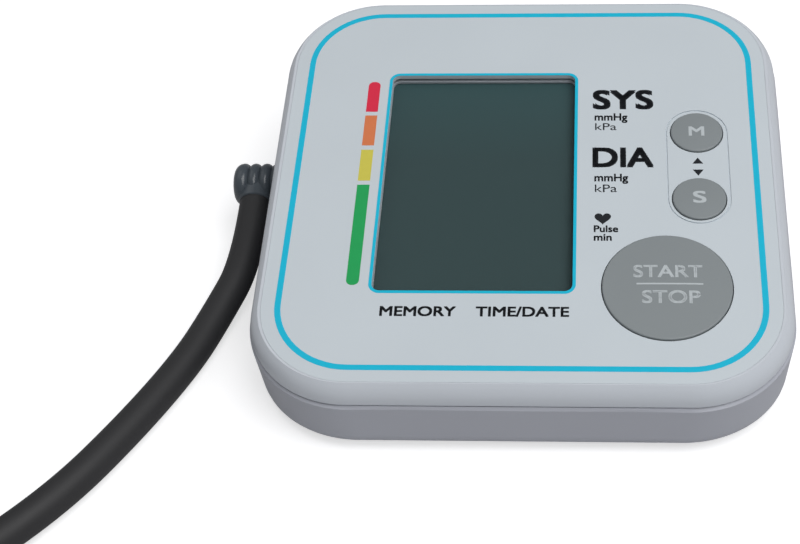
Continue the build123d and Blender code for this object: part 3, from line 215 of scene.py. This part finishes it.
# Grey green glass with a painted reflection, which makes it a little lighter and greener towards the back
# edge; the stops run from the front edge to the back
displayLookAndPaintedLight = {
    "color": (0.035, 0.065, 0.068), "roughness": 0.3, "gloss": 0.2,
    "stops": [
        (0.0, (0.068, 0.11, 0.113, 1)),
        (0.6, (0.068, 0.112, 0.116, 1)),
        (1.0, (0.068, 0.138, 0.145, 1)),
    ],
}


def displayFinish():
    finish = Finish("displayGlassPaintedLight", displayLookAndPaintedLight["color"], displayLookAndPaintedLight["roughness"],
                    Specular_IOR_Level=displayLookAndPaintedLight["gloss"])
    low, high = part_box("lcd_panel")
    depth = finish.node("ShaderNodeSeparateXYZ", None, {"Vector": finish.coords()}, output="Y")
    values = {"Value": depth, "From Min": low.y, "From Max": high.y}
    along = finish.node("ShaderNodeMapRange", None, values)
    # the ramp paints the reflection's light across the glass, from the front edge to the back
    ramp = finish.node("ShaderNodeValToRGB", {"stops": displayLookAndPaintedLight["stops"]}, {"Fac": along})
    finish.feed(finish.shader.inputs["Base Color"], ramp)
    return finish.material


finishes = {
    "panel_plastic": mouldedPlastic("panelPlastic", (0.585, 0.64, 0.68), 0.33, strength=0.05),
    "rim": mouldedPlastic("rimPlastic", (0.585, 0.62, 0.67), 0.36, strength=0.06),
    # the lower housing is the same white plastic as the top; this darker colour is painted shade for its walls
    "base_plastic": mouldedPlastic("basePlasticPaintedShade", (0.425, 0.44, 0.49), 0.42, strength=0.08),
    "button_plastic": mouldedPlastic("buttonPlastic", (0.235, 0.26, 0.27), 0.5, grain=5000, strength=0.2),
    "black_plastic": mouldedPlastic("plugPlastic", (0.06, 0.073, 0.086), 0.27, grain=4000),
    "hose_rubber": rubber("hoseRubber", (0.0195, 0.0195, 0.021), 0.6),
    "black_rubber": rubber("footRubber", (0.025, 0.025, 0.026), 0.7),
    "soft_tube": rubber("milkyTube", (0.62, 0.62, 0.58), 0.4, strength=0.1),
    "frame_plastic": mouldedPlastic("framePlastic", (0.68, 0.68, 0.66), 0.45),
    "circuit_board": mouldedPlastic("boardGreen", (0.02, 0.13, 0.05), 0.35),
    "dark_chip": mouldedPlastic("chipBlack", (0.015, 0.015, 0.017), 0.5),
    "steel": metal("platedSteel", (0.55, 0.56, 0.58), 0.3),
    "copper": metal("windingCopper", (0.62, 0.27, 0.12), 0.35),
    "cell_sleeve": mouldedPlastic("cellSleeve", (0.07, 0.08, 0.10), 0.3),
    "dark_magnet": mouldedPlastic("magnetGrey", (0.05, 0.05, 0.045), 0.6),
    "lens": lensFinish(),
    "lcd": displayFinish(),
}
inks = {
    "blue": printInk("ringBlue", (0.012, 0.485, 0.685)),
    "red": printInk("barRed", (0.70, 0.03, 0.07)),
    "orange": printInk("barOrange", (0.68, 0.20, 0.08)),
    "yellow": printInk("barYellow", (0.62, 0.56, 0.09)),
    "green": printInk("barGreen", (0.02, 0.36, 0.10)),
    "black": printInk("letterBlack", (0.016, 0.018, 0.022)),
    "pale": printInk("letterPale", (0.50, 0.54, 0.56)),
}

slotOf = {part["node"]: part["material_slot"] for part in frame["record"]["subparts"]}
for name, node in nodes.items():
    node.data.materials.clear()
    node.data.materials.append(finishes[slotOf[name]])
nodes["upper_housing"].data.materials[0] = finishes["rim"]
print("finishes set on", len(nodes), "nodes")

# Print is a thin slab that starts just under the faceplate's surface. Its sizes and places here are in
# millimetres, across and back from the middle of the sloping top.
printing = {"thickness": 0.035, "sink": 0.005}
printPlace = topPlace @ Matrix.Translation((0, 0, -printing["sink"] * mm))


def fromBmesh(form, name):
    bmesh.ops.recalc_face_normals(form, faces=form.faces)
    mesh = bpy.data.meshes.new(name)
    form.to_mesh(mesh)
    form.free()
    return mesh


def flatFace(points):
    form = bmesh.new()
    form.faces.new([form.verts.new((x * mm, y * mm, 0)) for x, y in points])
    return form


def rectangle(left, right, front, back):
    return (left, front), (right, front), (right, back), (left, back)


def roundCorners(form, verts, radius, segments):
    bmesh.ops.bevel(form, geom=verts, offset=radius * mm, offset_type="OFFSET", segments=segments,
                    profile=0.5, affect="VERTICES", material=-1)


def raisedPrint(form, name):
    # the flat faces become closed slabs
    raised = bmesh.ops.extrude_face_region(form, geom=list(form.faces))
    verts = [item for item in raised["geom"] if isinstance(item, bmesh.types.BMVert)]
    bmesh.ops.translate(form, verts=verts, vec=(0, 0, printing["thickness"] * mm))
    return fromBmesh(form, name)


def printPiece(name, mesh, ink, body="monitor"):
    mesh.transform(printPlace)
    piece = bpy.data.objects.new(name, mesh)
    bpy.context.scene.collection.objects.link(piece)
    mesh.materials.append(inks[ink])
    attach(piece, body)


# The ring near the faceplate's edge and the frame round the display: the left, right, front and back of the
# middle line, the radius of its corners and the width of the stripe
bands = {
    "blueRing": {"box": (-58.25, 58.25, -58.55, 58.55), "corner": 18.4, "width": 1.5},
    "displayFrame": {"box": (-36.5, 12.85, -36.5, 36.1), "corner": 2.4, "width": 0.8},
}
bandSegments = 16


def printBand(name, band):
    left, right, front, back = band["box"]
    half = band["width"] / 2
    form = flatFace(rectangle(left - half, right + half, front - half, back + half))
    roundCorners(form, list(form.verts), band["corner"] + half, bandSegments)
    face = max(form.faces, key=lambda f: f.calc_area())
    bmesh.ops.inset_region(form, faces=[face], thickness=band["width"] * mm, use_boundary=True,
                           use_even_offset=True)
    bmesh.ops.delete(form, geom=[face], context="FACES_ONLY")
    printPiece(name, raisedPrint(form, name), "blue")


for name, band in bands.items():
    printBand(name, band)

colourBar = {
    "left": -42.4, "right": -39.25, "cornerShare": 0.47, "cornerSegments": 8,
    # front edge, back edge and the round end
    "parts": {
        "red": (22.6, 33.4, "back"),
        "orange": (10.75, 21.25, "neither"),
        "yellow": (-1.25, 9.25, "neither"),
        "green": (-34.5, -2.6, "front"),
    },
}


def printBar(ink, front, back, roundEnd):
    left, right = colourBar["left"], colourBar["right"]
    form = flatFace(rectangle(left, right, front, back))
    corners = list(form.verts)
    ends = {"front": corners[:2], "back": corners[2:]}
    if roundEnd in ends:
        radius = (right - left) * colourBar["cornerShare"]
        roundCorners(form, ends[roundEnd], radius, colourBar["cornerSegments"])
    name = "bar_" + ink
    printPiece(name, raisedPrint(form, name), ink)


for ink, (front, back, roundEnd) in colourBar["parts"].items():
    printBar(ink, front, back, roundEnd)
print("ring, display frame and colour bar printed")

# Words in the built-in font: the text, its box as left, right, front and back, and how far the copies that
# make it bolder are moved, as a share of the letters' size
lettering = {"resolution": 5}
words = [
    ("SYS", (17.1, 32.9, 23.25, 30.25), 0.06),
    ("mmHg", (17.6, 26.1, 18.5, 21.9), 0.05),
    ("kPa", (17.75, 23.25, 16.0, 18.4), 0.0),
    ("DIA", (17.1, 32.6, 3.25, 10.0), 0.06),
    ("mmHg", (17.6, 26.1, -2.25, 1.1), 0.05),
    ("kPa", (17.75, 23.25, -5.0, -2.5), 0.0),
    ("Pulse", (17.5, 23.5, -17.9, -15.75), 0.05),
    ("min", (17.5, 21.9, -20.6, -18.5), 0.05),
    ("MEMORY", (-33.5, -15.25, -43.75, -40.75), 0.05),
    ("TIME/DATE", (-10.5, 11.75, -43.75, -40.75), 0.05),
]


def letterMesh(text):
    curve = bpy.data.curves.new(text, "FONT")
    curve.body = text
    curve.resolution_u = lettering["resolution"]
    holder = bpy.data.objects.new(text, curve)
    bpy.context.scene.collection.objects.link(holder)
    bpy.context.view_layer.update()
    graph = bpy.context.evaluated_depsgraph_get()
    mesh = bpy.data.meshes.new_from_object(holder.evaluated_get(graph))
    bpy.data.objects.remove(holder)
    return mesh


def wordMesh(text, box, boldness):
    left, right, front, back = box
    plain = letterMesh(text)
    form = bmesh.new()
    # copies a little to the side and up make the strokes bolder
    steps = (0, boldness) if boldness else (0,)
    for shiftY in steps:
        for shiftX in steps:
            copy = plain.copy()
            copy.transform(Matrix.Translation((shiftX, shiftY, 0)))
            form.from_mesh(copy)
    xs = [vert.co.x for vert in form.verts]
    ys = [vert.co.y for vert in form.verts]
    wide = (right - left) * mm / (max(xs) - min(xs))
    tall = (back - front) * mm / (max(ys) - min(ys))
    bmesh.ops.translate(form, verts=form.verts, vec=(-min(xs), -min(ys), 0))
    bmesh.ops.scale(form, verts=form.verts, vec=(wide, tall, 1))
    bmesh.ops.translate(form, verts=form.verts, vec=(left * mm, front * mm, 0))
    return raisedPrint(form, text)


for number, (text, box, boldness) in enumerate(words, 1):
    printPiece("word_" + str(number), wordMesh(text, box, boldness), "black")

# The heart sign follows the usual heart formula, which is 32 wide and 29 high, with its middle 2.5 down
heart = {"middle": (19.7, -13.75), "size": (4.1, 3.7), "points": 36}
heartFormula = {"size": (32, 29), "middleDown": 2.5}


def heartPoint(turn):
    x = 16 * math.sin(turn) ** 3
    y = 13 * math.cos(turn) - 5 * math.cos(2 * turn) - 2 * math.cos(3 * turn) - math.cos(4 * turn)
    scaleX, scaleY = (size / full for size, full in zip(heart["size"], heartFormula["size"]))
    return heart["middle"][0] + x * scaleX, heart["middle"][1] + (y + heartFormula["middleDown"]) * scaleY


turns = [2 * math.pi * step / heart["points"] for step in range(heart["points"])]
heartForm = flatFace([heartPoint(turn) for turn in turns])
printPiece("pulseHeart", raisedPrint(heartForm, "heart"), "black")

# Two small triangles between the round buttons, each from its base to its tip
triangles = {"left": 42.4, "right": 45.1, "signs": {"upTriangle": (4.5, 6.5), "downTriangle": (2.5, 0.5)}}


def printTriangle(name, base, tip):
    left, right = triangles["left"], triangles["right"]
    form = flatFace([(left, base), (right, base), ((left + right) / 2, tip)])
    printPiece(name, raisedPrint(form, name), "black")


for name, (base, tip) in triangles["signs"].items():
    printTriangle(name, base, tip)

# The buttons' letters lie on the caps. A cap's edge is above the faceplate by the rise, and its crown is above
# the edge by the height.
caps = {
    "memory_button": {"middle": (43.75, 15.0), "radius": 6.6},
    "set_button": {"middle": (43.75, -7.25), "radius": 6.65},
    "start_button": {"middle": (35.1, -34.75), "radius": 15.6},
}
crown = {"rise": 0.5, "height": 0.3}
buttonWords = {
    "M": ("memory_button", (41.7, 45.7, 13.35, 16.55), 0.04),
    "S": ("set_button", (42.1, 45.4, -9.1, -5.2), 0.04),
    "START": ("start_button", (27.0, 43.6, -32.4, -28.6), 0.03),
    "STOP": ("start_button", (29.0, 42.9, -40.1, -36.25), 0.03),
}
startBar = {"middle": (35.7, -34.3), "length": 15.9, "width": 0.45, "steps": 24}


def ontoCrown(mesh, button):
    # lifts each point onto the sphere that crowns the cap
    cap = caps[button]
    sphere = (cap["radius"] ** 2 + crown["height"] ** 2) / (2 * crown["height"])
    for vert in mesh.vertices:
        away = math.hypot(vert.co.x / mm - cap["middle"][0], vert.co.y / mm - cap["middle"][1])
        vert.co.z += (crown["rise"] + crown["height"] - sphere + math.sqrt(sphere**2 - away**2)) * mm


def buttonPrint(name, mesh, button):
    ontoCrown(mesh, button)
    printPiece(name, mesh, "pale", button)


def startBarMesh():
    x, y = startBar["middle"]
    place = Matrix.Translation((x * mm, y * mm, 0))
    size = Matrix.Diagonal((startBar["length"] * mm, startBar["width"] * mm, 1, 1))
    form = bmesh.new()
    bmesh.ops.create_grid(form, x_segments=startBar["steps"], y_segments=1, size=0.5, matrix=place @ size)
    return raisedPrint(form, "startBar")


for text, (button, box, boldness) in buttonWords.items():
    buttonPrint("buttonWord_" + text, wordMesh(text, box, boldness), button)
buttonPrint("startBar", startBarMesh(), "start_button")
print("words and signs printed")

# Hose: its route on the table, then one turn of coil and most of another on top of it, in millimetres
hoseForm = {
    "radius": 4.2, "lift": 0.05, "outletDroop": 12.0, "firstRun": 19.7, "lastRun": 14.0, "roundness": 10,
}
coilForm = {
    "radius": 43.0, "underLift": 0.5, "entryAngle": -60.0, "leadIn": 29.0, "turns": 1.7,
    "pointsPerTurn": 18, "pointsOutside": 1.006,
    "climbFrom": 302.0, "climbFor": 35.0, "endLift": 0.6, "endLiftFor": 30.0,
}
outletEnd = Vector((-73.55, 12.2399, 12.8694))
droop = math.radians(hoseForm["outletDroop"])
outletWay = Vector((0, -math.cos(droop), -math.sin(droop)))
tableLevel = hoseForm["radius"] + hoseForm["lift"]
coilLevel = hoseForm["radius"] + coilForm["underLift"]
entry = math.radians(coilForm["entryAngle"])
coilWay = Vector((math.sin(entry), -math.cos(entry), 0))
route = [
    outletEnd,
    outletEnd + outletWay * hoseForm["firstRun"],
    Vector((-79.2, -23.0, tableLevel + 1.0)),
    Vector((-84.1, -38.5, tableLevel)),
    Vector((-93.7, -60.0, tableLevel)),
    Vector((-106.8, -83.5, tableLevel)),
    Vector((-126.0, -105.3, coilLevel)),
]
route.append(route[-1] + coilWay * hoseForm["lastRun"])
coilStart = route[-1] + coilWay * coilForm["leadIn"]
coilMiddle = coilStart - Vector((math.cos(entry), math.sin(entry), 0)) * coilForm["radius"]


def coilPoint(turned):
    # turned: degrees since the hose met the coil; the points lie a little outside the curve that they shape
    angle = entry - math.radians(turned)
    away = coilForm["radius"] * coilForm["pointsOutside"]
    climb = min(1.0, max(0.0, (turned - coilForm["climbFrom"]) / coilForm["climbFor"]))
    smoothClimb = climb * climb * (3 - 2 * climb)
    leftToTurn = 360 * coilForm["turns"] - turned
    nearEnd = max(0.0, 1 - leftToTurn / coilForm["endLiftFor"])
    level = coilLevel + 2 * hoseForm["radius"] * smoothClimb + coilForm["endLift"] * nearEnd
    return Vector((coilMiddle.x + away * math.cos(angle), coilMiddle.y + away * math.sin(angle), level))


steps = round(coilForm["turns"] * coilForm["pointsPerTurn"])
for step in range(steps + 1):
    route.append(coilPoint(360 * coilForm["turns"] * step / steps))


def layHose():
    curve = bpy.data.curves.new("hose", "CURVE")
    curve.dimensions = "3D"
    curve.bevel_depth = hoseForm["radius"] * mm
    curve.bevel_resolution = hoseForm["roundness"]
    curve.resolution_u = hoseForm["roundness"]
    curve.use_fill_caps = True
    spline = curve.splines.new("NURBS")
    spline.points.add(len(route) - 1)
    for point, place in zip(spline.points, route):
        point.co = (*(place * mm), 1)
    spline.order_u = 3
    spline.use_endpoint_u = True
    piece = bpy.data.objects.new("airHose", curve)
    bpy.context.scene.collection.objects.link(piece)
    curve.materials.append(finishes["hose_rubber"])
    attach(piece, "hose_assembly")
    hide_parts("hose", "hose_coil")


layHose()
print("hose laid")

# Camera at the photograph's place, in millimetres, with its three directions
camera = {
    "place": (17.5, -326.09, 302.27),
    "right": (0.9984, 0.0437, -0.0354),
    "up": (-0.0037, 0.6804, 0.7328),
    "forward": (-0.0561, 0.7315, -0.6795),
    "lens": 75.0,
    "sensor": 36.0,
    "shift": -0.125,
    "nearest": 10,
}


def makeCamera():
    data = bpy.data.cameras.new("camera")
    data.lens = camera["lens"]
    data.sensor_width = camera["sensor"]
    data.sensor_fit = "HORIZONTAL"
    data.shift_x = camera["shift"]
    data.clip_start = camera["nearest"] * mm
    holder = bpy.data.objects.new("camera", data)
    bpy.context.scene.collection.objects.link(holder)
    right, up, forward = (Vector(camera[key]).normalized() for key in ("right", "up", "forward"))
    turn = Matrix((right, up, -forward)).transposed().to_4x4()
    holder.matrix_world = Matrix.Translation(Vector(camera["place"]) * mm) @ turn
    bpy.context.scene.camera = holder


makeCamera()

# Studio, in metres: a pale floor that looks white from the camera, a large soft lamp above and to the right
# in front, and a weaker one at the left
studio = {
    "floorSize": 6.0, "floorDrop": 0.0002, "floorColor": (0.62, 0.62, 0.63), "floorRoughness": 0.9,
    "floorGlow": 0.6, "worldLight": 0.22, "worldColor": (0.97, 0.98, 1.0, 1),
}
lamps = {
    "overheadLamp": {"place": (0.48, -0.4, 1.25), "size": 1.1, "power": 15.6},
    "sideLamp": {"place": (-0.8, 0.3, 1.0), "size": 1.0, "power": 1.5},
}


def floorFinish():
    # the camera sees the floor glow, and from below the floor is clear
    finish = Finish("floorPaper", studio["floorColor"], studio["floorRoughness"])
    seen = finish.node("ShaderNodeLightPath", output="Is Camera Ray")
    values = {"Color": (1, 1, 1, 1), "Strength": seen * studio["floorGlow"]}
    glow = finish.node("ShaderNodeEmission", None, values)
    paper = Value(finish, finish.shader.outputs[0])
    glowing = finish.node("ShaderNodeAddShader", None, {0: paper, 1: glow})
    below = finish.node("ShaderNodeNewGeometry", output="Backfacing")
    clear = finish.node("ShaderNodeBsdfTransparent")
    shown = finish.node("ShaderNodeMixShader", None, {0: below, 1: glowing, 2: clear})
    finish.feed(finish.nodes["Material Output"].inputs["Surface"], shown)
    return finish.material


def makeFloor():
    form = bmesh.new()
    bmesh.ops.create_grid(form, x_segments=1, y_segments=1, size=studio["floorSize"] / 2)
    mesh = fromBmesh(form, "floor")
    mesh.transform(Matrix.Translation((0, 0, -studio["floorDrop"])))
    mesh.materials.append(floorFinish())
    floor = bpy.data.objects.new("floor", mesh)
    bpy.context.scene.collection.objects.link(floor)


def makeLamps():
    for name, lamp in lamps.items():
        light = bpy.data.lights.new(name, "AREA")
        light.size = lamp["size"]
        light.energy = lamp["power"]
        holder = bpy.data.objects.new(name, light)
        holder.location = lamp["place"]
        # each lamp points at the origin
        holder.rotation_euler = (-Vector(lamp["place"])).to_track_quat("-Z", "Y").to_euler()
        bpy.context.scene.collection.objects.link(holder)


def makeWorld():
    # white where the camera sees it, and dimmer as a light
    world = bpy.data.worlds.new("studio")
    bpy.context.scene.world = world
    world.use_nodes = True
    tree = NodeTree(world.node_tree)
    seen = tree.node("ShaderNodeLightPath", output="Is Camera Ray")
    values = {0: seen, 2: studio["worldLight"], 3: 1.0}
    strength = tree.node("ShaderNodeMix", {"data_type": "FLOAT"}, values)
    background = tree.nodes["Background"]
    tree.feed(background.inputs["Strength"], strength)
    tree.feed(background.inputs["Color"], studio["worldColor"])


makeFloor()
makeLamps()
makeWorld()
bpy.context.scene.view_settings.view_transform = "Standard"
print("camera and studio ready")
